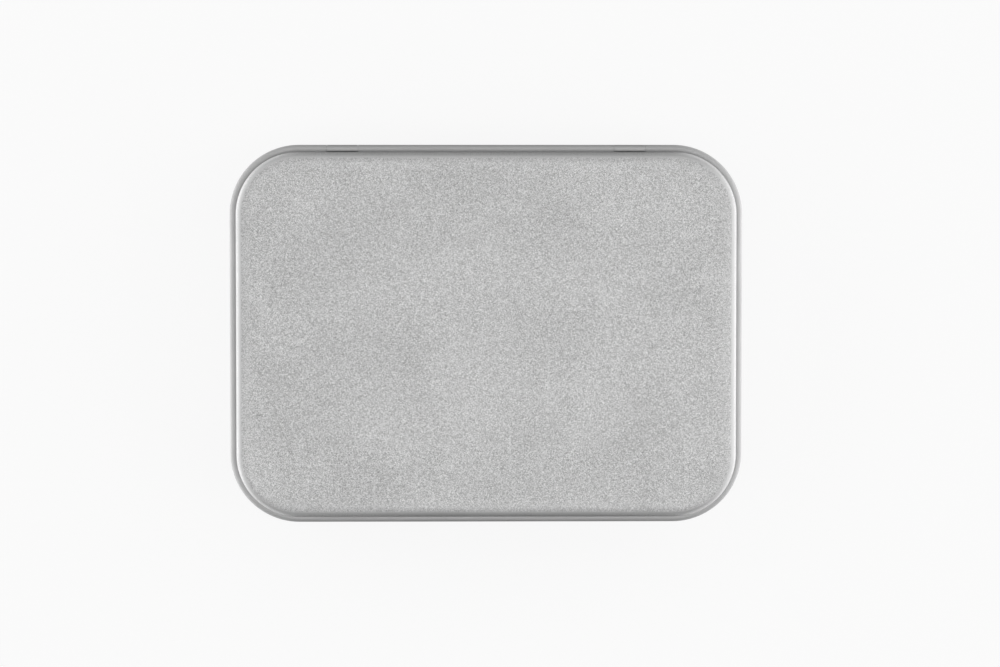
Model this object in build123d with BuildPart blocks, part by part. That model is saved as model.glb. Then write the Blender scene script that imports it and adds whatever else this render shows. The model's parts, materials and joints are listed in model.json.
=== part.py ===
from build123d import *
from math import radians, tan
import os

# A small tin for a deck of cards: a drawn body, a drawn lid and two hinge wires.
# Millimetres. X runs along the tin, Y from its front to the hinges at its back, Z up.
# The origin is under the middle of the closed tin, on the surface that it stands on.

# The closed tin
rim_length = 100.0  # left to right, over the lid's rolled rim
rim_width = 73.7  # front to back, over the lid's rolled rim
rim_corner_radius = 13.5
tin_height = 22.0
sheet = 0.25  # thickness of the tinplate

# The rolled edges and the round at the bottom are bent in short flats that touch their circle.
roll_step = 45.0  # degrees from one flat of a rolled edge to the next
roll_flat_count = 6
bottom_step = 22.5  # degrees from one flat of the bottom's round to the next
bottom_flat_count = 3

# Hinge wires, which lie inside the lid's rolled rim
wire_diameter = 1.1
wire_clearance = 0.05  # round the wire, in the rolled sheet
wire_length = 12.0
hinge_inset = 22.0  # from the end of the rim to the middle of the hinge near it

# Lid
lid_depth = 7.3  # top of the panel down to the underside of the rolled rim
lid_edge_radius = 1.3  # outside, between the panel and the skirt
lid_roll_lip = 0.2  # last flat of the rolled rim, which all but touches the skirt
lid_clearance = 0.35  # between the body's wall and the lid's skirt
lid_gap = 0.15  # between the body's rolled edge and the lid's panel

# Body
body_curl_radius = 0.6  # outside, of the rolled edge round the mouth
bottom_radius = 2.0  # outside, between the wall and the foot
foot_inset = 6.0  # wall to the panel that is pressed up inside the foot
panel_step = 0.6  # height of that panel above the foot
step_run = 0.6  # width of the slope between them

# Tongues of the body that pass through slots in the lid's rim and roll round the wires
tongue_width = 6.0
tongue_gap = 0.15  # at each side of a tongue
tongue_bend = 0.375  # radius of the sheet's middle where a tongue leaves the wall
tongue_turn = 225.0  # degrees round the wire

# Snap pips in the front of the lid
pip_spacing = 34.0
pip_height = 0.1
pip_base_radius = 1.1
pip_top_radius = 0.45
pip_above_rim = 2.6  # above the middle of the rolled rim

# Places that follow from the sizes
half_sheet = sheet / 2
half_length = rim_length / 2
half_width = rim_width / 2
lap = 1.0  # length over which joined stretches of one sheet run into each other
lid_curl_radius = wire_diameter / 2 + wire_clearance + sheet  # outside, of the rolled rim
roll_middle = lid_curl_radius - half_sheet
skirt_inset = 2 * lid_curl_radius  # from the rim's outline to the skirt's inner face
wall_inset = skirt_inset + lid_clearance  # from the rim's outline to the wall's outer face
mouth_z = tin_height - sheet - lid_gap
# The wires lie in the middle of the rolled rim, so the lid turns about that line.
axis_y = half_width - lid_curl_radius
axis_z = tin_height - lid_depth + lid_curl_radius
hinge_x = half_length - hinge_inset
slot_width = tongue_width + 2 * tongue_gap


def hinge_plane(x):
    """Section plane across a hinge: its origin on the axis, its x to the back, its y up."""
    return Plane(origin=(x, axis_y, axis_z), x_dir=(0, 1, 0), z_dir=(1, 0, 0))


def flat_length(radius, step):
    """Length of each flat round a circle that its middle touches."""
    return 2 * radius * tan(radians(step / 2))


def bent_sheet(start, heading, radius, step, flat_count):
    """Flats round a circle, each turned left by one step from the one before."""
    corner = start
    for flat in range(1, flat_count + 1):
        side = PolarLine(corner, flat_length(radius, step), heading + flat * step)
        corner = side @ 1
    return corner


# Both shells have one section all the way round, carried along the rim's outline. A quarter
# of that outline is drawn, from the middle of the right side to the middle of the back.
with BuildLine() as quarter_rim:
    FilletPolyline(
        (half_length, 0), (half_length, half_width), (0, half_width), radius=rim_corner_radius
    )
quarter_path = quarter_rim.wires()[0]

# Body: stepped bottom, foot, wall and the edge rolled inwards round the mouth
wall_x = half_length - wall_inset
wall_middle_x = wall_x - half_sheet
bottom_middle = bottom_radius - half_sheet
foot_end_x = wall_middle_x - bottom_middle + flat_length(bottom_middle, bottom_step) / 2
wall_start_z = bottom_radius - flat_length(bottom_middle, bottom_step) / 2
mouth_middle = body_curl_radius - half_sheet
wall_end_z = mouth_z - body_curl_radius + flat_length(mouth_middle, roll_step) / 2
# Seen from the hinge axis, a tongue leaves the wall here and bends out under the wire.
tongue_wall_x = -(lid_curl_radius + lid_clearance + half_sheet)
tongue_root_z = -(roll_middle + tongue_bend)
# Each tongue is cut from the wall above its root, so the window is as tall as it is long.
tongue_under_wire = -tongue_wall_x - tongue_bend
tongue_rolled = roll_middle * radians(tongue_turn)
window_height = tongue_bend * radians(90) + tongue_under_wire + tongue_rolled

with BuildPart() as body_shell:
    with BuildSketch(Plane.XZ):
        with BuildLine() as body_line:
            Polyline(
                (wall_x - foot_inset - lap, panel_step + half_sheet),
                (wall_x - foot_inset, panel_step + half_sheet),
                (wall_x - foot_inset + step_run, half_sheet),
                (foot_end_x, half_sheet),
            )
            bent_sheet((foot_end_x, half_sheet), 0, bottom_middle, bottom_step, bottom_flat_count)
            Line((wall_middle_x, wall_start_z), (wall_middle_x, wall_end_z))
            bent_sheet((wall_middle_x, wall_end_z), 90, mouth_middle, roll_step, roll_flat_count)
        trace(body_line.line, sheet)
    sweep(path=quarter_path)
    mirror(about=Plane.XZ)

    # Window in the back wall at the right-hand hinge
    with BuildSketch(hinge_plane(hinge_x - slot_width / 2)):
        with Locations((tongue_wall_x, tongue_root_z)):
            Rectangle(2 * sheet, window_height, align=(Align.CENTER, Align.MIN))
    extrude(amount=slot_width, mode=Mode.SUBTRACT)

    # Tongue that rises from the window's lower edge, bends out and rolls up over the wire
    with BuildSketch(hinge_plane(hinge_x - tongue_width / 2)):
        with BuildLine() as tongue_line:
            Line((tongue_wall_x, tongue_root_z - lap), (tongue_wall_x, tongue_root_z))
            CenterArc((tongue_wall_x + tongue_bend, tongue_root_z), tongue_bend, 180, -90)
            Line((tongue_wall_x + tongue_bend, -roll_middle), (0, -roll_middle))
            CenterArc((0, 0), roll_middle, -90, tongue_turn)
        trace(tongue_line.line, sheet)
    extrude(amount=tongue_width)
    mirror(about=Plane.YZ)

    # Panel pressed up inside the foot
    with BuildSketch(Plane.XY.offset(panel_step)):
        RectangleRounded(
            rim_length - 2 * (wall_inset + foot_inset + lap / 2),
            rim_width - 2 * (wall_inset + foot_inset + lap / 2),
            rim_corner_radius - wall_inset - foot_inset - lap / 2,
        )
    extrude(amount=sheet)
body_shell.part.label = "body_shell"

# Lid: flat panel, rounded edge, skirt and the rim rolled outwards round the wires
skirt_middle_x = half_length - skirt_inset + half_sheet
skirt_end_z = axis_z - flat_length(roll_middle, roll_step) / 2
lip_heading = -90 + (roll_flat_count + 1) * roll_step
panel_inset = skirt_inset + lid_edge_radius  # from the rim's outline to the flat of the panel
slot_reach = lid_curl_radius + lid_clearance / 2  # of the slot, in front of and behind the axis
slot_top = lid_curl_radius + tongue_gap  # above the axis
pip_z = axis_z + pip_above_rim

with BuildPart() as lid_shell:
    with BuildSketch(Plane.XZ):
        with BuildLine() as lid_line:
            FilletPolyline(
                (half_length - panel_inset - lap, tin_height - half_sheet),
                (skirt_middle_x, tin_height - half_sheet),
                (skirt_middle_x, skirt_end_z),
                radius=lid_edge_radius - half_sheet,
            )
            lip_start = bent_sheet(
                (skirt_middle_x, skirt_end_z), -90, roll_middle, roll_step, roll_flat_count
            )
            PolarLine(lip_start, lid_roll_lip, lip_heading)
        trace(lid_line.line, sheet)
    sweep(path=quarter_path)
    mirror(about=Plane.XZ)

    # Slot for the tongue, through the rim and the foot of the skirt
    with BuildSketch(hinge_plane(hinge_x - slot_width / 2)):
        with Locations((0, slot_top)):
            Rectangle(
                2 * slot_reach, slot_top + slot_reach, align=(Align.CENTER, Align.MAX)
            )
    extrude(amount=slot_width, mode=Mode.SUBTRACT)

    # Pip pressed inwards through the front of the skirt
    pip_place = Plane(
        origin=(pip_spacing / 2, skirt_inset - half_width, pip_z), z_dir=(0, 1, 0)
    )
    with Locations(pip_place.offset(-sheet)):
        Cone(
            pip_base_radius,
            pip_top_radius,
            pip_height,
            align=(Align.CENTER, Align.CENTER, Align.MIN),
            mode=Mode.SUBTRACT,
        )
    with Locations(pip_place):
        Cone(
            pip_base_radius,
            pip_top_radius,
            pip_height,
            align=(Align.CENTER, Align.CENTER, Align.MIN),
        )
    mirror(about=Plane.YZ)

    # Flat panel
    with BuildSketch(Plane.XY.offset(tin_height - sheet)):
        RectangleRounded(
            rim_length - 2 * panel_inset,
            rim_width - 2 * panel_inset,
            rim_corner_radius - panel_inset,
        )
    extrude(amount=sheet)
lid_shell.part.label = "lid_shell"

# Hinge wires, one for each tongue, with their ends in the lid's rim at both sides of it
hinge_pins = []
for pin_name, pin_middle_x in (("hinge_pin_left", -hinge_x), ("hinge_pin_right", hinge_x)):
    with BuildPart() as hinge_pin:
        with BuildSketch(hinge_plane(pin_middle_x - wire_length / 2)):
            Circle(wire_diameter / 2)
        extrude(amount=wire_length)
    hinge_pin.part.label = pin_name
    hinge_pins.append(hinge_pin.part)

os.makedirs("parts", exist_ok=True)
for piece in (body_shell.part, lid_shell.part, *hinge_pins):
    export_step(piece, f"parts/{piece.label}.step")
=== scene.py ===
"""A small hinged tin for a deck of cards, dressed for its picture.

Two drawn sheets of tinplate, a body and a lid, are each worked out as one folded sheet: a section
carried round the rim's outline and cut at the hinges. The lid's rim is rolled round two wires, and
tongues cut from the body's wall pass through slots in it and roll round the same wires. Lengths are
in metres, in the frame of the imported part.
"""

import json

import bpy
import numpy as np
from bpy.props import FloatProperty, FloatVectorProperty, IntProperty, PointerProperty
from bpy.types import Operator, Panel, PropertyGroup
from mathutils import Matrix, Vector


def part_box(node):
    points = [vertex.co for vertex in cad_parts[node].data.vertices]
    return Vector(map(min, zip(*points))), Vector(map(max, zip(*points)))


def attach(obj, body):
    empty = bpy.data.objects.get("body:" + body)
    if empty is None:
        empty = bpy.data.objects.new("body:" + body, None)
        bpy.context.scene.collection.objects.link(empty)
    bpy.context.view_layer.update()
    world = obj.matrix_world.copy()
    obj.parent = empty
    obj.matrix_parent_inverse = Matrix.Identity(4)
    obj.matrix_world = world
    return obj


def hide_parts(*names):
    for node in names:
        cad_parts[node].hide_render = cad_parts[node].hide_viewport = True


bl_info = {
    "name": "Hinged card tin",
    "version": (1, 0, 0),
    "blender": (4, 5, 0),
    "location": "View3D > Sidebar > Card tin",
    "description": "Builds a drawn tinplate card tin with a hinged lid, and its studio",
    "category": "Object",
}

MM = 0.001

SIDE_FACE = 1.8 * MM  # longest face along the front and the back
END_FACE = 2.0 * MM  # longest face along the two ends
PIP_FACE = 0.17 * MM  # longest face across a snap pip
PIP_REACH = 1.2  # how far the fine faces reach from a pip's middle, in pip radii
SHARP_ANGLE = np.radians(40)  # the shading breaks at edges sharper than this
BRIGHT_RADIUS = 1.2 * MM  # a bend as tight as this is worked bright all over
DRAWN_SHARE = 0.65  # how far drawing a flat wall works it

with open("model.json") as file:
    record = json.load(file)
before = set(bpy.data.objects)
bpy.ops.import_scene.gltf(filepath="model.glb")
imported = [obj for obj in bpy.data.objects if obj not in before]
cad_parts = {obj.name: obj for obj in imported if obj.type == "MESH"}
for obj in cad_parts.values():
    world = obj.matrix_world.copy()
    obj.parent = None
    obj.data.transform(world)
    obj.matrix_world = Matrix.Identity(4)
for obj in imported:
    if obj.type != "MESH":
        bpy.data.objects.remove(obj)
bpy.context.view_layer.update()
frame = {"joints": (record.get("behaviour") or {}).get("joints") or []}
hinge = frame["joints"][0]
LID_LOW, LID_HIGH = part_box("lid_shell")
_, BODY_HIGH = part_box("body_shell")
PIN_LOW, PIN_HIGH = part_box("hinge_pin_right")

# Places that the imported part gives
HALF_LENGTH = LID_HIGH.x
HALF_WIDTH = -LID_LOW.y
TIN_HEIGHT = LID_HIGH.z
MOUTH_Z = BODY_HIGH.z
WALL_INSET = LID_HIGH.x - BODY_HIGH.x
AXIS_Y, AXIS_Z = hinge["pos_m"][1], hinge["pos_m"][2]
HINGE_X = (PIN_LOW.x + PIN_HIGH.x) / 2
WIRE_LENGTH = PIN_HIGH.x - PIN_LOW.x
WIRE_RADIUS = (PIN_HIGH.z - PIN_LOW.z) / 2
RIM_RADIUS = HALF_WIDTH - AXIS_Y


def length(label, says, millimetres):
    """A length that a user may change, given in millimetres."""
    return FloatProperty(
        name=label, description=says, default=millimetres * MM, unit="LENGTH", precision=5
    )


def angle(label, says, degrees):
    """An angle that a user may change, given in degrees."""
    return FloatProperty(
        name=label, description=says, default=np.radians(degrees), subtype="ANGLE"
    )


def tone(label, says, grey):
    """A colour that a user may change, given as three linear shares."""
    return FloatVectorProperty(
        name=label, description=says, default=grey, subtype="COLOR", min=0.0, max=1.0
    )


class TinSizes(PropertyGroup):
    """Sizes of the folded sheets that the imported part's boxes don't give."""

    corner: length("Corner radius", "Radius of the rim's outline at the corners", 13.5)
    sheet: length("Sheet", "Thickness of the tinplate", 0.25)
    rim_turn: angle("Rim turn", "How far the lid's rim rolls round the wires", 311)
    mouth: length("Mouth", "Outside radius of the edge rolled into the body's mouth", 0.6)
    mouth_turn: angle("Mouth turn", "How far the edge of the mouth rolls", 285)
    ease_turn: angle("Easing", "How far the lid's panel bows down before its edge", 12)
    ease_radius: length("Easing radius", "Radius of that slow bow", 5.6)
    edge_tight: length("Edge, tight", "Outside radius of the lid's edge near the panel", 1.1)
    edge_wide: length("Edge, wide", "Outside radius of the lid's edge near the skirt", 1.75)
    bottom_round: length("Bottom round", "Outside radius between wall and foot", 2.0)
    foot: length("Foot", "From the wall to the panel pressed up inside the foot", 6.0)
    panel_step: length("Panel step", "Height of the bottom's panel above the foot", 0.6)
    panel_sag: length("Panel sag", "Depth of the slow unevenness of the flat panels", 0.03)
    tongue: length("Tongue", "Width of a tongue, along the wire", 6.0)
    tongue_bend: length("Tongue bend", "Radius of the sheet's middle where it leaves", 0.375)
    tongue_turn: angle("Tongue turn", "How far a tongue rolls round the wire", 225)
    gap: length("Gap", "At each side of a tongue, and above it", 0.07)
    kerf: length("Kerf", "Width of the cut that frees a tongue's end", 0.04)
    pip_spacing: length("Pip spacing", "Between the two pips in the lid's front", 34.0)
    pip_radius: length("Pip radius", "Radius of a pip at its foot", 1.1)
    pip_depth: length("Pip depth", "How far a pip is pressed in", 0.1)
    pip_rise: length("Pip rise", "A pip's middle above the middle of the rolled rim", 2.6)
    wire_round: length("Wire round", "Radius that rounds the ends of the wires", 0.2)
    corner_cuts: IntProperty(
        name="Corner cuts", description="Faces round a corner of the rim", default=24, min=4
    )
    roll_cuts: IntProperty(
        name="Roll cuts", description="Faces round a rolled edge", default=20, min=6
    )


class TinFinish(PropertyGroup):
    """Colours and marks of the bare tinplate."""

    tinplate: tone("Tinplate", "Colour of the bare tinplate", (0.60, 0.60, 0.60))
    worked: tone("Worked tinplate", "Colour where the sheet is bent bright", (0.68, 0.68, 0.68))
    wire: tone("Wire", "Colour of the drawn wire", (0.55, 0.55, 0.56))
    grain_size: length("Grain size", "Width of a speck of the stone grain", 0.12)
    grain_depth: length("Grain depth", "Height of the stone grain", 0.002)
    grain_tone: FloatProperty(
        name="Grain tone", description="How far the grain's colour varies", default=0.5
    )


def glow(label, says, strength):
    """A brightness that a user may change, where 1 shows as white."""
    return FloatProperty(name=label, description=says, default=strength, min=0.0)


class StudioLight(PropertyGroup):
    """The pale floor, the soft lamps and the camera."""

    floor: tone("Floor", "Colour of the floor", (0.95, 0.95, 0.95))
    floor_white: glow("Floor white", "Share of plain white that the floor shows", 0.86)
    front_card: tone("Front card", "Colour of the card in front", (0.22, 0.22, 0.22))
    back_card: tone("Back card", "Colour of the card behind", (0.4, 0.4, 0.4))
    distance: length("Camera distance", "From the camera to the lid's rim", 700)
    lean_back: angle("Lean back", "How far the camera stands back of straight above", 2.7)
    lean_left: angle("Lean left", "How far the camera stands left of straight above", 0.9)
    left_glow: glow("Left glow", "Brightness of the lamp at the left", 0.84)
    right_glow: glow("Right glow", "Brightness of the lamp at the right", 0.88)
    low_left_glow: glow("Low left glow", "Brightness of the low lamp at the left", 1.0)
    low_right_glow: glow("Low right glow", "Brightness of the low lamp at the right", 0.95)
    top_glow: glow("Top glow", "Brightness of the lamp overhead", 1.14)
    back_glow: glow("Back glow", "Brightness of the lamp behind", 0.28)
    room_glow: glow("Room glow", "Brightness of the room all round", 0.3)


# ---- Shapes: folded sheets --------------------------------------------------------------


def strip(start, heading, stretches):
    """Middle line of a strip of sheet in (out, up), and the direction its left face looks.

    A stretch is (length, turn, cuts). The heading turns evenly along it, so a cut's chord is its
    length times sin(half its turn) / (half its turn), laid along the heading halfway through the
    cut, and the points are the running sum of the chords. The left side is a quarter turn left.
    """
    lengths, turns, cuts = np.array(stretches, float).T
    cuts = cuts.astype(int)
    step = np.repeat(lengths / cuts, cuts)
    turn = np.repeat(turns / cuts, cuts)
    after = heading + np.cumsum(turn)
    along = after - turn / 2
    chord = step * np.sinc(turn / (2 * np.pi))
    moves = chord[:, None] * np.stack([np.cos(along), np.sin(along)], axis=1)
    points = np.asarray(start) + np.vstack([np.zeros((1, 2)), np.cumsum(moves, axis=0)])
    headings = np.concatenate([[heading], after])
    return points, np.stack([-np.sin(headings), np.cos(headings)], axis=1)


def bend(radius, degrees, cuts):
    """A stretch that turns by that angle, left if positive, at that radius of its middle."""
    turn = np.radians(degrees)
    return (radius * abs(turn), turn, cuts)


def spaced(marks, spacing):
    """Stations that hit every mark, evenly spaced between two marks and no wider than spacing."""
    marks = np.unique(np.round(marks, 7))
    cuts = np.ceil(np.diff(marks) / spacing - 1e-6).astype(int)
    runs = [
        np.linspace(low, high, count, endpoint=False)
        for low, high, count in zip(marks[:-1], marks[1:], cuts)
    ]
    return np.concatenate([*runs, marks[-1:]])


def rim_columns(sizes, front_x, back_x):
    """Columns round the rim, counterclockwise seen from above, from the front's left end.

    Each is a core point on the rectangle of the corners' centres and the angle its column faces.
    A point at distance d outside that rectangle is core + d (cos angle, sin angle): the core moves
    along the straight sides, and the angle turns at the corners.
    """
    half_x = HALF_LENGTH - sizes.corner
    half_y = HALF_WIDTH - sizes.corner
    side_y = spaced([-half_y, half_y], END_FACE)
    quarter = np.linspace(0, np.pi / 2, sizes.corner_cuts + 1)[1:-1]
    runs = [
        (front_x, -half_y, -np.pi / 2),
        (half_x, -half_y, -np.pi / 2 + quarter),
        (half_x, side_y, 0.0),
        (half_x, half_y, quarter),
        (back_x[::-1], half_y, np.pi / 2),
        (-half_x, half_y, np.pi / 2 + quarter),
        (-half_x, side_y[::-1], np.pi),
        (-half_x, -half_y, np.pi + quarter),
    ]
    spread = [np.broadcast_arrays(*np.atleast_1d(*run)) for run in runs]
    x, y, faces = (np.concatenate(part) for part in zip(*spread))
    return np.stack([x, y], axis=1), faces


def carried(sizes, section, looks, columns):
    """A section carried round the rim: points and side directions, rows by columns by 3.

    (out, up) of the section becomes core + (corner radius + out) (cos angle, sin angle), up.
    """
    core, faces = columns
    out_way = np.stack([np.cos(faces), np.sin(faces)], axis=1)
    reach = sizes.corner + section[:, 0]
    flat = core[None] + reach[:, None, None] * out_way[None]
    up = np.broadcast_to(section[:, 1, None, None], (*flat.shape[:2], 1))
    side_flat = looks[:, 0, None, None] * out_way[None]
    side_up = np.broadcast_to(looks[:, 1, None, None], up.shape)
    return np.concatenate([flat, up], axis=2), np.concatenate([side_flat, side_up], axis=2)


def panel_rows(border, side, rows, sag):
    """A flat panel from near its middle out to its border, in rings of its border's shape.

    A ring is the border times a share from 0 to 1. It sinks by sag times a slow wave in x and y,
    which fades out towards the border.
    """
    first_share, crowding, fade_from = 0.02, 0.9, 0.55
    shares = np.linspace(0, 1, rows + 1)[1:] ** crowding
    shares = np.concatenate([[first_share], shares[:-1]])
    middle = border[None] * np.array([1, 1, 0]) * shares[:, None, None]
    x, y = middle[..., 0], middle[..., 1]
    wave = np.sin(95 * x + 0.6) * np.cos(120 * y - 0.4) + 0.6 * np.sin(60 * x + 85 * y + 1.9)
    fade = 1 - np.clip((shares[:, None] - fade_from) / (1 - fade_from), 0, 1) ** 2
    middle[..., 2] = border[None, :, 2] - sag * (0.5 + wave / 3.2) * fade
    return middle, np.broadcast_to(side[None], middle.shape)


def fold_sheet(name, middle, side, keep, thickness, traits):
    """One folded sheet with its two faces half a thickness to each side of its middle.

    Cells where keep is false are cut out. Every cut edge and the sheet's last row are closed by
    narrow faces across the thickness, and the hole in the middle of the first row by one face on
    each side. Rows run outwards and columns close on themselves. Traits are values from 0 to 1
    for the finish, one for each point of the middle.
    """
    rows, columns = middle.shape[:2]
    count = rows * columns
    face_up = middle + side * thickness / 2
    face_down = middle - side * thickness / 2
    points = np.concatenate([face_up.reshape(-1, 3), face_down.reshape(-1, 3)])
    row, column = np.nonzero(keep)
    after = (column + 1) % columns
    a = row * columns + column
    b = row * columns + after
    c = (row + 1) * columns + after
    d = (row + 1) * columns + column
    outer = np.vstack([keep[1:], np.zeros((1, columns), bool)])[row, column]
    inner = np.vstack([np.ones((1, columns), bool), keep[:-1]])[row, column]
    right = np.roll(keep, -1, axis=1)[row, column]
    left = np.roll(keep, 1, axis=1)[row, column]
    quads = [
        np.stack([a, d, c, b], axis=1),
        np.stack([a, b, c, d], axis=1) + count,
        np.stack([d, d + count, c + count, c], axis=1)[~outer],
        np.stack([a, b, b + count, a + count], axis=1)[~inner],
        np.stack([b, c, c + count, b + count], axis=1)[~right],
        np.stack([a, a + count, d + count, d], axis=1)[~left],
    ]
    faces = np.concatenate(quads)
    loop = np.arange(columns)
    used = np.zeros(2 * count, bool)
    used[faces] = True
    place = np.cumsum(used) - 1
    caps = [place[loop].tolist(), place[loop[::-1] + count].tolist()]
    mesh = bpy.data.meshes.new(name)
    mesh.from_pydata(points[used].tolist(), [], place[faces].tolist() + caps)
    cut_edge = np.zeros(2 * count)
    cut_edge[np.concatenate(quads[2:])] = 1.0
    both_faces = {trait: np.tile(values.reshape(-1), 2) for trait, values in traits.items()}
    for trait, values in {**both_faces, "cut_edge": cut_edge}.items():
        attribute = mesh.attributes.new(trait, "FLOAT", "POINT")
        attribute.data.foreach_set("value", values[used].astype(np.float32))
    return finished(mesh)


def finished(mesh):
    """An object at the origin for a mesh, smooth across its bends and sharp at its cut edges."""
    mesh.polygons.foreach_set("use_smooth", np.ones(len(mesh.polygons), bool))
    mesh.set_sharp_from_angle(angle=SHARP_ANGLE)
    mesh.validate()
    mesh.update()
    piece = bpy.data.objects.new(mesh.name, mesh)
    bpy.context.scene.collection.objects.link(piece)
    return piece


def body_section(sizes):
    """The body's section from the border of its bottom panel to the end of the rolled mouth.

    Returns the points, the side directions, the rows of the hinge window, the tongue's points and
    side directions in those rows, and how far each row's sheet has been worked.
    """
    half = sizes.sheet / 2
    slope_degrees = 45
    press_radius = 0.45 * MM  # of the bends at both ends of the slope inside the foot
    slope = np.radians(slope_degrees)
    rise = sizes.panel_step - 2 * press_radius * (1 - np.cos(slope))
    run = rise / np.tan(slope) + 2 * press_radius * np.sin(slope)
    bottom_middle = sizes.bottom_round - half
    foot_width = sizes.foot - run - sizes.bottom_round
    rim_middle = RIM_RADIUS - half
    wall_middle = HALF_WIDTH - WALL_INSET - half
    wall_low = half + bottom_middle
    window_low = AXIS_Z - rim_middle - sizes.tongue_bend
    wall_high = MOUTH_Z - sizes.mouth
    tongue_stretches = [
        bend(sizes.tongue_bend, -90, 5),
        (AXIS_Y - wall_middle - sizes.tongue_bend, 0, 3),
        bend(rim_middle, np.degrees(sizes.tongue_turn), 18),
    ]
    flat = [(size, 0, cuts) for size, _, cuts in tongue_stretches]
    window_height = sum(size for size, _, _ in flat)
    stretches = [
        bend(press_radius, -slope_degrees, 4),
        (rise / np.sin(slope), 0, 1),
        bend(press_radius, slope_degrees, 4),
        (foot_width, 0, 3),
        bend(bottom_middle, 90, 10),
        (window_low - wall_low, 0, 10),
        *flat,
        (sizes.kerf, 0, 1),
        (wall_high - window_low - window_height - sizes.kerf, 0, 2),
        bend(sizes.mouth - half, np.degrees(sizes.mouth_turn), sizes.roll_cuts),
    ]
    ends = np.cumsum([cuts for _, _, cuts in stretches])
    start = (-(WALL_INSET + sizes.foot), sizes.panel_step + half)
    points, looks = strip(start, 0.0, stretches)
    lower_wall, window_top, kerf = 5, 8, 9  # places in the list of stretches
    tongue_start = (points[ends[lower_wall], 0], window_low)
    tongue, tongue_looks = strip(tongue_start, np.pi / 2, tongue_stretches)
    window = (ends[lower_wall], ends[window_top], ends[kerf])
    return points, looks, window, tongue, tongue_looks, worked_rows(stretches, lower_wall)


def worked_rows(stretches, drawn_from):
    """How far each row of a section has been worked, from 0 on the flats to 1 on tight bends.

    A bend counts as the bright radius over its own. From the given stretch on, the sheet has also
    been drawn into a wall, which smooths its grain. A row takes the mean of its two neighbours.
    """
    lengths, turns, cuts = np.array(stretches, float).T
    cuts = cuts.astype(int)
    tightness = np.abs(turns) / lengths * BRIGHT_RADIUS
    drawn = np.where(np.arange(len(stretches)) >= drawn_from, DRAWN_SHARE, 0.0)
    per_cut = np.repeat(np.clip(np.maximum(tightness, drawn), 0, 1), cuts)
    padded = np.concatenate([per_cut[:1], per_cut, per_cut[-1:]])
    return (padded[:-1] + padded[1:]) / 2


def lid_section(sizes):
    """The lid's section from the border of its panel to the end of the rolled rim.

    Returns the same as body_section. The slot for the tongue runs on to the end of the rim, and
    nothing is rolled from it, so the tongue's points and side directions are None.
    """
    half = sizes.sheet / 2
    skirt_inset = 2 * RIM_RADIUS
    pip_z = AXIS_Z + sizes.pip_rise
    # The panel bows down a little, then the edge turns tight near it and wider near the skirt.
    eased, halfway, full = sizes.ease_turn, np.pi / 4, np.pi / 2
    turns = [(sizes.ease_radius, 0.0, eased, 8)]
    turns += [(sizes.edge_tight - half, eased, halfway, 8)]
    turns += [(sizes.edge_wide - half, halfway, full, 9)]
    edge_run = sum(radius * (np.sin(end) - np.sin(first)) for radius, first, end, _ in turns)
    edge_drop = sum(radius * (np.cos(first) - np.cos(end)) for radius, first, end, _ in turns)
    skirt_z = [
        TIN_HEIGHT - half - edge_drop,
        pip_z + PIP_REACH * sizes.pip_radius,
        pip_z - PIP_REACH * sizes.pip_radius,
        AXIS_Z + RIM_RADIUS + sizes.gap,
        AXIS_Z,
    ]
    drops = -np.diff(skirt_z)
    stretches = [
        *[bend(radius, np.degrees(first - end), cuts) for radius, first, end, cuts in turns],
        (drops[0], 0, 2),
        (drops[1], 0, 14),
        (drops[2], 0, 1),
        (drops[3], 0, 4),
        bend(RIM_RADIUS - half, np.degrees(sizes.rim_turn), sizes.roll_cuts),
    ]
    ends = np.cumsum([cuts for _, _, cuts in stretches])
    start = (half - skirt_inset - edge_run, TIN_HEIGHT - half)
    points, looks = strip(start, 0.0, stretches)
    skirt, above_slot, rim = 3, 5, 7  # places in the list of stretches
    slot = (ends[above_slot], ends[rim], ends[rim])
    return points, looks, slot, None, None, worked_rows(stretches, skirt)


def hinge_spans(width):
    """The stretches along X that reach half a width to each side of both hinges' middles."""
    return np.array([[x - width / 2, x + width / 2] for x in (-HINGE_X, HINGE_X)])


def within(x, spans, margin):
    """Whether each x lies in one of the spans, grown by margin."""
    return ((x[:, None] > spans[:, 0] - margin) & (x[:, None] < spans[:, 1] + margin)).any(axis=1)


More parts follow.
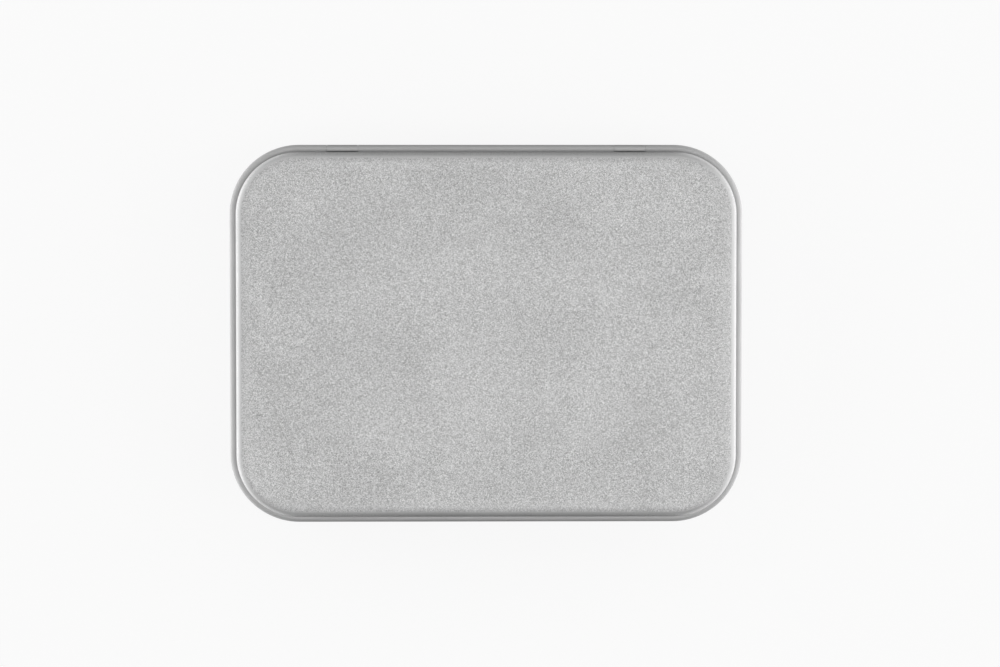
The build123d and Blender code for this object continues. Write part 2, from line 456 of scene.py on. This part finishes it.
def shell(sizes, section, panel_cuts, front_marks):
    """A drawn shell as one sheet: panel, carried section and, where there are any, tongues.

    Returns the sheet's middle, its side directions, the cells to keep, its traits and its columns.
    """
    points, looks, (first, last, freed), tongue, tongue_looks, worked = section
    half_x = HALF_LENGTH - sizes.corner
    window = hinge_spans(sizes.tongue + 2 * sizes.gap)
    strips = hinge_spans(sizes.tongue) if tongue is not None else np.empty((0, 2))
    back_x = spaced([-half_x, half_x, *window.ravel(), *strips.ravel()], SIDE_FACE)
    columns = rim_columns(sizes, spaced_front(half_x, front_marks), back_x)
    core, faces = columns
    middle, side = carried(sizes, points, looks, columns)
    worked = np.repeat(worked[:, None], len(core), axis=1)
    # Rolled rows: duller in the finish, and their colour painted a little darker there as shade in
    # the roll's crease
    rolled = np.zeros(worked.shape)
    rolled[-sizes.roll_cuts :] = 1.0
    behind = np.isclose(faces, np.pi / 2) & (core[:, 1] > 0)
    if tongue is not None:
        in_strip = behind & within(core[:, 0], strips, 1e-6)
        rolled_rows = slice(first, last + 1)
        tongue_middle, tongue_side = carried(sizes, tongue, tongue_looks, columns)
        middle[rolled_rows][:, in_strip] = tongue_middle[:, in_strip]
        side[rolled_rows][:, in_strip] = tongue_side[:, in_strip]
        worked[rolled_rows, in_strip] = 1.0
        rolled[rolled_rows, in_strip] = 1.0
    keep = np.ones((len(points) - 1, len(core)), bool)
    cell_x = (core[:, 0] + np.roll(core[:, 0], -1)) / 2
    cell_behind = behind & np.roll(behind, -1)
    in_window = cell_behind & within(cell_x, window, 0)
    cell_strip = cell_behind & within(cell_x, strips, 0)
    keep[first:last, in_window & ~cell_strip] = False
    keep[last:freed, in_window] = False
    flat_middle, flat_side = panel_rows(middle[0], side[0], panel_cuts, sizes.panel_sag)
    middle = np.concatenate([flat_middle, middle])
    side = np.concatenate([flat_side, side])
    flat = np.zeros((panel_cuts, len(core)))
    keep = np.concatenate([np.ones(flat.shape, bool), keep])
    traits = {
        "worked": np.concatenate([flat, worked]),
        "rolled": np.concatenate([flat, rolled]),
    }
    return middle, side, keep, traits, columns


def spaced_front(half_x, marks):
    """Stations along the front, close together where the pips are."""
    coarse = spaced([-half_x, half_x, *marks], SIDE_FACE)
    if not marks:
        return coarse
    fine = [spaced([low, high], PIP_FACE) for low, high in zip(marks[::2], marks[1::2])]
    return np.unique(np.round(np.concatenate([coarse, *fine]), 7))


def press_pips(sizes, middle, columns):
    """Presses the two pips in through the front of the skirt.

    At distance r from a pip's middle the sheet moves in by the pip's depth times
    (1 + cos(pi r / radius)) / 2, and not at all beyond its radius.
    """
    core, faces = columns
    front = np.isclose(faces, -np.pi / 2) & (core[:, 1] < 0)
    pip_z = AXIS_Z + sizes.pip_rise
    across = np.abs(np.abs(core[:, 0]) - sizes.pip_spacing / 2)
    reach = np.hypot(across[None], middle[..., 2] - pip_z)
    share = np.clip(reach / sizes.pip_radius, 0, 1)
    depth = sizes.pip_depth * (1 + np.cos(np.pi * share)) / 2
    middle[..., 1] += np.where(front[None], depth, 0)


def wire(name, sizes, middle_x):
    """A hinge wire along X: a profile (along, radius) turned about the hinge's axis."""
    ends = sizes.wire_round
    profile, _ = strip(
        (-WIRE_LENGTH / 2, WIRE_RADIUS - ends),
        np.pi / 2,
        [
            bend(ends, -90, 5),
            (WIRE_LENGTH - 2 * ends, 0, 12),
            bend(ends, -90, 5),
        ],
    )
    step = 32
    around = np.linspace(0, 2 * np.pi, step, endpoint=False)
    along, radius = profile[:, 0, None], profile[:, 1, None]
    x = np.broadcast_to(middle_x + along, (len(profile), step))
    y = AXIS_Y + radius * np.cos(around)
    z = AXIS_Z + radius * np.sin(around)
    points = np.stack([x, y, z], axis=2).reshape(-1, 3)
    row, column = np.indices((len(profile) - 1, step)).reshape(2, -1)
    after = (column + 1) % step
    quads = np.stack(
        [
            row * step + column,
            row * step + after,
            (row + 1) * step + after,
            (row + 1) * step + column,
        ],
        axis=1,
    )
    loop = np.arange(step)
    caps = [loop[::-1].tolist(), (loop + (len(profile) - 1) * step).tolist()]
    mesh = bpy.data.meshes.new(name)
    mesh.from_pydata(points.tolist(), [], quads.tolist() + caps)
    return finished(mesh)


# ---- Finishes ---------------------------------------------------------------------------


class Wiring:
    """Adds and joins nodes in one node tree."""

    def __init__(self, tree):
        self.tree = tree

    def add(self, kind, **settings):
        """A node with its attributes set; names of inputs in `inputs` are set or joined."""
        inputs = settings.pop("inputs", {})
        node = self.tree.nodes.new(kind)
        for setting, value in settings.items():
            setattr(node, setting, value)
        for socket, value in inputs.items():
            self.feed(value, node.inputs[socket])
        return node

    def feed(self, value, socket):
        """Joins a socket to the input, or sets the input's own value."""
        if isinstance(value, bpy.types.NodeSocket):
            self.tree.links.new(value, socket)
        else:
            socket.default_value = value

    def math(self, kind, *values, clamp=False):
        """One step of arithmetic."""
        node = self.add("ShaderNodeMath", operation=kind, use_clamp=clamp)
        for socket, value in zip(node.inputs, values):
            self.feed(value, socket)
        return node.outputs[0]

    def shifted(self, value, mask, amount):
        """A value moved by the mask times an amount."""
        return self.math("ADD", value, self.math("MULTIPLY", mask, amount))

    def noise(self, place, scale, detail=2.0, roughness=0.5):
        """Noise from about 0.3 to 0.7 over a place in metres."""
        node = self.add(
            "ShaderNodeTexNoise",
            inputs={"Vector": place, "Scale": scale, "Detail": detail, "Roughness": roughness},
        )
        return node.outputs["Fac"]

    def ramp(self, value, low, high, to_low=0.0, to_high=1.0):
        """A value spread from one range to another, held at the ends."""
        node = self.add(
            "ShaderNodeMapRange",
            inputs={
                "Value": value,
                "From Min": low,
                "From Max": high,
                "To Min": to_low,
                "To Max": to_high,
            },
        )
        return node.outputs["Result"]

    def blend(self, share, first, second):
        """A colour between two, by share."""
        node = self.add("ShaderNodeMix", data_type="RGBA")
        self.feed(share, node.inputs["Factor"])
        colours = [socket for socket in node.inputs if socket.type == "RGBA"]
        self.feed(first, colours[0])
        self.feed(second, colours[1])
        return next(socket for socket in node.outputs if socket.type == "RGBA")


def shaded(colour, share):
    """A colour made darker or lighter by that share, opaque."""
    return (*(min(1.0, part * share) for part in colour), 1.0)


def new_group(name, inputs, outputs):
    """A shader node group with named float or vector sockets, and its wiring."""
    tree = bpy.data.node_groups.new(name, "ShaderNodeTree")
    for label, kind, default in inputs:
        socket = tree.interface.new_socket(label, in_out="INPUT", socket_type=kind)
        if default is not None:
            socket.default_value = default
    for label in outputs:
        tree.interface.new_socket(label, in_out="OUTPUT", socket_type="NodeSocketFloat")
    wiring = Wiring(tree)
    return wiring, wiring.add("NodeGroupInput").outputs, wiring.add("NodeGroupOutput").inputs


def stone_grain():
    """Fine even grain, rolled into the sheet: a height and a tone, both 0 to 1."""
    name = "stone grain"
    if name in bpy.data.node_groups:
        return bpy.data.node_groups[name]
    wiring, given, result = new_group(
        name,
        [("Place", "NodeSocketVector", None), ("Fineness", "NodeSocketFloat", 3300.0)],
        ["Height", "Tone"],
    )
    place, fineness = given["Place"], given["Fineness"]
    clump_share, cloud_share = 0.1, 0.1
    clump_scale = wiring.math("MULTIPLY", fineness, 0.23)
    cloud_scale = wiring.math("MULTIPLY", fineness, 0.011)
    cell = wiring.add(
        "ShaderNodeTexVoronoi", feature="F1", inputs={"Vector": place, "Scale": fineness}
    )
    speck = wiring.add("ShaderNodeSeparateColor", inputs={"Color": cell.outputs["Color"]})
    specks = wiring.math("MULTIPLY", speck.outputs[0], 1 - clump_share)
    mixed = wiring.shifted(specks, wiring.noise(place, clump_scale), clump_share)
    wiring.feed(mixed, result["Height"])
    cloud = wiring.noise(place, cloud_scale, detail=3.0, roughness=0.55)
    toned = wiring.shifted(mixed, wiring.math("SUBTRACT", cloud, 0.5), cloud_share)
    wiring.feed(wiring.ramp(toned, 0.0, 1.0), result["Tone"])
    return wiring.tree


def worked_metal():
    """Where the sheet shines from being bent or cut: a mask broken up by fine noise."""
    name = "worked metal"
    if name in bpy.data.node_groups:
        return bpy.data.node_groups[name]
    wiring, given, result = new_group(
        name,
        [
            ("Place", "NodeSocketVector", None),
            ("Worked", "NodeSocketFloat", 0.0),
            ("Cut", "NodeSocketFloat", 0.0),
        ],
        ["Shine"],
    )
    speckle = wiring.noise(given["Place"], 1800.0, detail=3.0, roughness=0.6)
    streak = wiring.noise(given["Place"], 160.0)
    broken = wiring.math(
        "ADD",
        wiring.ramp(speckle, 0.3, 0.7, -0.2, 0.2),
        wiring.ramp(streak, 0.3, 0.7, -0.15, 0.15),
    )
    cut_share = 0.6
    reach = wiring.shifted(given["Worked"], given["Cut"], cut_share)
    shine = wiring.math("ADD", reach, wiring.math("MULTIPLY", broken, reach), clamp=True)
    wiring.feed(shine, result["Shine"])
    return wiring.tree


def handling_marks():
    """Faint smudges and hairline scratches: two masks, 0 to 1."""
    name = "handling marks"
    if name in bpy.data.node_groups:
        return bpy.data.node_groups[name]
    wiring, given, result = new_group(
        name, [("Place", "NodeSocketVector", None)], ["Smudge", "Scratch"]
    )
    smudge = wiring.noise(given["Place"], 55.0, detail=4.0, roughness=0.6)
    wiring.feed(wiring.ramp(smudge, 0.42, 0.62), result["Smudge"])
    # Two families of hairlines: noise turned by an angle and drawn out to lines
    lines = []
    for turn, stretch in ((0.5, 0.02), (2.1, 0.025)):
        turned = wiring.add(
            "ShaderNodeMapping",
            inputs={
                "Vector": given["Place"],
                "Rotation": (0.0, 0.0, turn),
                "Scale": (1.0, stretch, 1.0),
            },
        )
        line = wiring.noise(turned.outputs["Vector"], 900.0, detail=1.0)
        lines.append(wiring.ramp(line, 0.735, 0.775))
    wiring.feed(wiring.math("MAXIMUM", *lines), result["Scratch"])
    return wiring.tree


def mixed_in(wiring, group, **inputs):
    """The outputs of a node group, placed with its own values."""
    return wiring.add("ShaderNodeGroup", node_tree=group, inputs=inputs).outputs


def tinplate(name, finish, grain_share, roughness):
    """Bare tinplate: grain on the flats, smooth where it is worked, and duller where rolled, where
    its colour is also painted a little darker as shade in the roll's crease.
    """
    material = bpy.data.materials.new(name)
    material.use_nodes = True
    wiring = Wiring(material.node_tree)
    skin = material.node_tree.nodes["Principled BSDF"]
    place = wiring.add("ShaderNodeTexCoord").outputs["Object"]
    worked = wiring.add("ShaderNodeAttribute", attribute_name="worked").outputs["Fac"]
    cut = wiring.add("ShaderNodeAttribute", attribute_name="cut_edge").outputs["Fac"]
    rolled = wiring.add("ShaderNodeAttribute", attribute_name="rolled").outputs["Fac"]
    grain = mixed_in(wiring, stone_grain(), Place=place, Fineness=1.0 / finish.grain_size)
    shine = mixed_in(wiring, worked_metal(), Place=place, Worked=worked, Cut=cut)["Shine"]
    marks = mixed_in(wiring, handling_marks(), Place=place)

    vary = finish.grain_tone * grain_share
    grained = wiring.blend(
        grain["Tone"], shaded(finish.tinplate, 1 - vary), shaded(finish.tinplate, 1 + vary)
    )
    bright = shaded(finish.worked, 1.0)
    polished = wiring.blend(shine, grained, bright)
    marked = wiring.blend(wiring.math("MULTIPLY", marks["Scratch"], 0.25), polished, bright)
    # Painted shade: the rolled rows take a colour a little darker than the worked bends, standing
    # in for the shade in the crease between the roll and the skirt
    wiring.feed(
        wiring.blend(rolled, marked, shaded(finish.worked, 0.92)), skin.inputs["Base Color"]
    )

    rough = roughness
    for mask, amount in (
        (marks["Smudge"], 0.06),
        (shine, 0.02),
        (marks["Scratch"], -0.08),
        (rolled, 0.12),
    ):
        rough = wiring.shifted(rough, mask, amount)
    wiring.feed(rough, skin.inputs["Roughness"])

    grain_left = wiring.shifted(1.0, shine, -0.85)
    height = wiring.math("MULTIPLY", grain["Height"], grain_share)
    height = wiring.math("MULTIPLY", height, grain_left)
    height = wiring.shifted(height, marks["Scratch"], -0.3)
    bump = wiring.add(
        "ShaderNodeBump",
        inputs={"Strength": 1.0, "Distance": finish.grain_depth, "Height": height},
    )
    wiring.feed(bump.outputs["Normal"], skin.inputs["Normal"])
    skin.inputs["Metallic"].default_value = 1.0
    return material


def drawn_wire(finish):
    """Drawn wire: fine lines along it, a little darker than the sheet."""
    material = bpy.data.materials.new("drawn wire")
    material.use_nodes = True
    wiring = Wiring(material.node_tree)
    skin = material.node_tree.nodes["Principled BSDF"]
    place = wiring.add("ShaderNodeTexCoord").outputs["Object"]
    stretched = wiring.add(
        "ShaderNodeMapping", inputs={"Vector": place, "Scale": (0.03, 1.0, 1.0)}
    ).outputs["Vector"]
    lines = wiring.ramp(wiring.noise(stretched, 9000.0, 2.0, 0.5), 0.35, 0.65)
    marks = mixed_in(wiring, handling_marks(), Place=place)
    colour = wiring.blend(lines, shaded(finish.wire, 0.85), shaded(finish.wire, 1.0))
    wiring.feed(colour, skin.inputs["Base Color"])
    wiring.feed(wiring.ramp(marks["Smudge"], 0, 1, 0.28, 0.38), skin.inputs["Roughness"])
    bump = wiring.add(
        "ShaderNodeBump", inputs={"Strength": 0.6, "Distance": 0.004 * MM, "Height": lines}
    )
    wiring.feed(bump.outputs["Normal"], skin.inputs["Normal"])
    skin.inputs["Metallic"].default_value = 1.0
    return material


def matt_paper(name, colour):
    """Matt paper with a faint tooth: its material, the wiring and its skin."""
    material = bpy.data.materials.new(name)
    material.use_nodes = True
    wiring = Wiring(material.node_tree)
    skin = material.node_tree.nodes["Principled BSDF"]
    place = wiring.add("ShaderNodeTexCoord").outputs["Object"]
    tooth = wiring.ramp(wiring.noise(place, 900.0, 3.0, 0.6), 0.3, 0.7)
    toned = wiring.blend(tooth, shaded(colour, 0.98), shaded(colour, 1.0))
    wiring.feed(toned, skin.inputs["Base Color"])
    bump = wiring.add(
        "ShaderNodeBump", inputs={"Strength": 0.2, "Distance": 0.02 * MM, "Height": tooth}
    )
    wiring.feed(bump.outputs["Normal"], skin.inputs["Normal"])
    skin.inputs["Roughness"].default_value = 0.9
    skin.inputs["Specular IOR Level"].default_value = 0.2
    return material, wiring, skin


def seen_white(wiring, lit, share):
    """A shader that the camera, glossy and transmitted rays see mixed with plain white by share."""
    path = wiring.add("ShaderNodeLightPath").outputs
    mirrored = wiring.math("ADD", path["Is Glossy Ray"], path["Is Transmission Ray"])
    rays = wiring.math("ADD", path["Is Camera Ray"], mirrored, clamp=True)
    white = wiring.add("ShaderNodeEmission", inputs={"Color": (1, 1, 1, 1), "Strength": 1.0})
    mix = wiring.add("ShaderNodeMixShader")
    wiring.feed(wiring.math("MULTIPLY", rays, share), mix.inputs[0])
    wiring.feed(lit, mix.inputs[1])
    wiring.feed(white.outputs[0], mix.inputs[2])
    return mix.outputs[0]


# ---- Operators --------------------------------------------------------------------------


class CARDTIN_OT_body(Operator):
    """Fold the body: stepped bottom, foot, wall, rolled mouth and the hinge tongues"""

    bl_idname = "cardtin.body"
    bl_label = "Body"

    def execute(self, context):
        sizes, finish = context.scene.card_tin_sizes, context.scene.card_tin_finish
        middle, side, keep, traits, _ = shell(
            sizes, body_section(sizes), panel_cuts=26, front_marks=[]
        )
        piece = fold_sheet("tin_body_sheet", middle, side, keep, sizes.sheet, traits)
        material = tinplate("body tinplate", finish, grain_share=0.6, roughness=0.36)
        piece.data.materials.append(material)
        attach(piece, "tin_body")
        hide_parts("body_shell")
        return {"FINISHED"}


class CARDTIN_OT_lid(Operator):
    """Fold the lid: panel, rounded edge, skirt, rolled rim with its slots, and snap pips"""

    bl_idname = "cardtin.lid"
    bl_label = "Lid"

    def execute(self, context):
        sizes, finish = context.scene.card_tin_sizes, context.scene.card_tin_finish
        pip_marks = [
            pip * sizes.pip_spacing / 2 + edge * sizes.pip_radius * PIP_REACH
            for pip in (-1, 1)
            for edge in (-1, 1)
        ]
        middle, side, keep, traits, columns = shell(
            sizes, lid_section(sizes), panel_cuts=30, front_marks=pip_marks
        )
        press_pips(sizes, middle, columns)
        piece = fold_sheet("tin_lid_sheet", middle, side, keep, sizes.sheet, traits)
        material = tinplate("lid tinplate", finish, grain_share=1.0, roughness=0.47)
        piece.data.materials.append(material)
        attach(piece, "lid")
        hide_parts("lid_shell")
        return {"FINISHED"}


class CARDTIN_OT_wires(Operator):
    """Draw the two hinge wires, with rounded ends"""

    bl_idname = "cardtin.wires"
    bl_label = "Hinge wires"

    def execute(self, context):
        sizes = context.scene.card_tin_sizes
        material = drawn_wire(context.scene.card_tin_finish)
        for side, middle_x in (("left", -HINGE_X), ("right", HINGE_X)):
            piece = wire(f"hinge_wire_{side}", sizes, middle_x)
            piece.data.materials.append(material)
            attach(piece, "tin_body")
            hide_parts(f"hinge_pin_{side}")
        return {"FINISHED"}


class CARDTIN_OT_studio(Operator):
    """Set up the pale floor, the soft lamps and the camera almost straight above the lid"""

    bl_idname = "cardtin.studio"
    bl_label = "Studio"

    def execute(self, context):
        light = context.scene.card_tin_light
        lay_floor(light)
        lay_cards(light)
        hang_lamps(light)
        fill_room(context.scene, light)
        aim_camera(context.scene, light)
        context.scene.view_settings.view_transform = "Standard"
        return {"FINISHED"}


def flat_sheet(name, corners, height):
    """A flat sheet at that height, as part of the stage."""
    mesh = bpy.data.meshes.new(name)
    mesh.from_pydata([(x, y, height) for x, y in corners], [], [(0, 1, 2, 3)])
    sheet = bpy.data.objects.new(name, mesh)
    bpy.context.scene.collection.objects.link(sheet)
    return sheet


def lay_floor(light):
    """A wide pale floor just under the tin, which keeps the tin's shadow."""
    reach = 12.0
    corners = [(-reach, -reach), (reach, -reach), (reach, reach), (-reach, reach)]
    floor = flat_sheet("floor", corners, -0.02 * MM)
    material, wiring, skin = matt_paper("pale floor", light.floor)
    seen = seen_white(wiring, skin.outputs[0], light.floor_white)
    wiring.feed(seen, material.node_tree.nodes["Material Output"].inputs["Surface"])
    floor.data.materials.append(material)


def lay_cards(light):
    """Two grey cards flat on the floor, along the front and the back of the tin.

    Only reflections see them: they keep the edges that face the front and the back darker than
    the ones that face the lamps at the sides. They lie just above the floor, start a little under
    the rim and widen away from the tin.
    """
    near, far = HALF_WIDTH - 1.5 * MM, 0.4
    narrow, wide = HALF_LENGTH - 10.0 * MM, 0.1
    for name, way, colour in (
        ("card in front", -1, light.front_card),
        ("card behind", 1, light.back_card),
    ):
        corners = [
            (-way * narrow, way * near),
            (way * narrow, way * near),
            (way * wide, way * far),
            (-way * wide, way * far),
        ]
        card = flat_sheet(name, corners, -0.01 * MM)
        card.data.materials.append(matt_paper(name, colour)[0])
        card.visible_camera = False
        card.visible_diffuse = False
        card.visible_shadow = False
        card.visible_transmission = False


def hang_lamps(light):
    """Six soft lamps: left, right, overhead, a weak one behind, and two low ones on the floor.

    A lamp of glow g and area a has the power g pi a. It looks straight down, straight up or at the
    middle of the lid.
    """
    middle = Vector((0, 0, TIN_HEIGHT))
    for name, place, size, strength, looks in (
        ("lamp left", (-0.95, 0.0, 0.48), (1.7, 0.9), light.left_glow, "at the lid"),
        ("lamp right", (0.95, 0.0, 0.48), (1.7, 0.9), light.right_glow, "at the lid"),
        ("lamp overhead", (0.45, -0.13, 1.25), (2.2, 0.56), light.top_glow, "down"),
        ("lamp behind", (0.0, 0.75, 0.85), (2.0, 1.05), light.back_glow, "at the lid"),
        ("low lamp left", (-0.19, 0.0, 0.0), (0.24, 0.13), light.low_left_glow, "up"),
        ("low lamp right", (0.19, 0.0, 0.0), (0.24, 0.13), light.low_right_glow, "up"),
    ):
        lamp = bpy.data.lights.new(name, "AREA")
        lamp.shape = "RECTANGLE"
        lamp.size, lamp.size_y = size
        lamp.energy = strength * np.pi * size[0] * size[1]
        holder = bpy.data.objects.new(name, lamp)
        holder.location = place
        if looks == "at the lid":
            holder.rotation_euler = (middle - Vector(place)).to_track_quat("-Z", "Y").to_euler()
        elif looks == "up":
            holder.rotation_euler = (np.pi, 0.0, 0.0)
        holder.visible_camera = False
        bpy.context.scene.collection.objects.link(holder)


def fill_room(scene, light):
    """A dim even room."""
    world = bpy.data.worlds.new("room")
    world.use_nodes = True
    room = world.node_tree.nodes["Background"]
    room.inputs["Color"].default_value = (1.0, 1.0, 1.0, 1.0)
    room.inputs["Strength"].default_value = light.room_glow
    scene.world = world


def aim_camera(scene, light):
    """A camera above the lid that leans a little, framed so that the rim has its width.

    The middle of the rim lies left of the picture's middle and above it by some pixels.
    """
    picture_width = 1000.0
    rim_pixels = 511.6
    left_of_middle, above_middle = 13.9, -0.1
    per_pixel = 2 * HALF_LENGTH / rim_pixels
    camera = bpy.data.cameras.new("camera")
    camera.sensor_width = 36.0
    camera.lens = camera.sensor_width * light.distance / (picture_width * per_pixel)
    camera.clip_end = 50.0
    holder = bpy.data.objects.new("camera", camera)
    holder.rotation_euler = (-light.lean_back, -light.lean_left, 0.0)
    target = Vector((left_of_middle * per_pixel, -above_middle * per_pixel, AXIS_Z))
    backwards = holder.rotation_euler.to_matrix() @ Vector((0, 0, 1))
    holder.location = target + backwards * light.distance
    scene.collection.objects.link(holder)
    scene.camera = holder


class CARDTIN_PT_panel(Panel):
    """Lists the pieces of the tin and its studio"""

    bl_idname = "CARDTIN_PT_panel"
    bl_label = "Card tin"
    bl_space_type = "VIEW_3D"
    bl_region_type = "UI"
    bl_category = "Card tin"

    def draw(self, context):
        for step in STEPS:
            self.layout.operator(step.bl_idname)
        for settings in (
            context.scene.card_tin_sizes,
            context.scene.card_tin_finish,
            context.scene.card_tin_light,
        ):
            box = self.layout.box()
            for name in settings.bl_rna.properties.keys():
                if name not in {"rna_type", "name"}:
                    box.prop(settings, name)


STEPS = (CARDTIN_OT_body, CARDTIN_OT_lid, CARDTIN_OT_wires, CARDTIN_OT_studio)
CLASSES = (TinSizes, TinFinish, StudioLight, *STEPS, CARDTIN_PT_panel)


def register():
    for item in CLASSES:
        bpy.utils.register_class(item)
    bpy.types.Scene.card_tin_sizes = PointerProperty(type=TinSizes)
    bpy.types.Scene.card_tin_finish = PointerProperty(type=TinFinish)
    bpy.types.Scene.card_tin_light = PointerProperty(type=StudioLight)


def unregister():
    del bpy.types.Scene.card_tin_light
    del bpy.types.Scene.card_tin_finish
    del bpy.types.Scene.card_tin_sizes
    for item in reversed(CLASSES):
        bpy.utils.unregister_class(item)


def main():
    register()
    for step in STEPS:
        group, name = step.bl_idname.split(".")
        getattr(getattr(bpy.ops, group), name)()


if __name__ == "__main__":
    main()
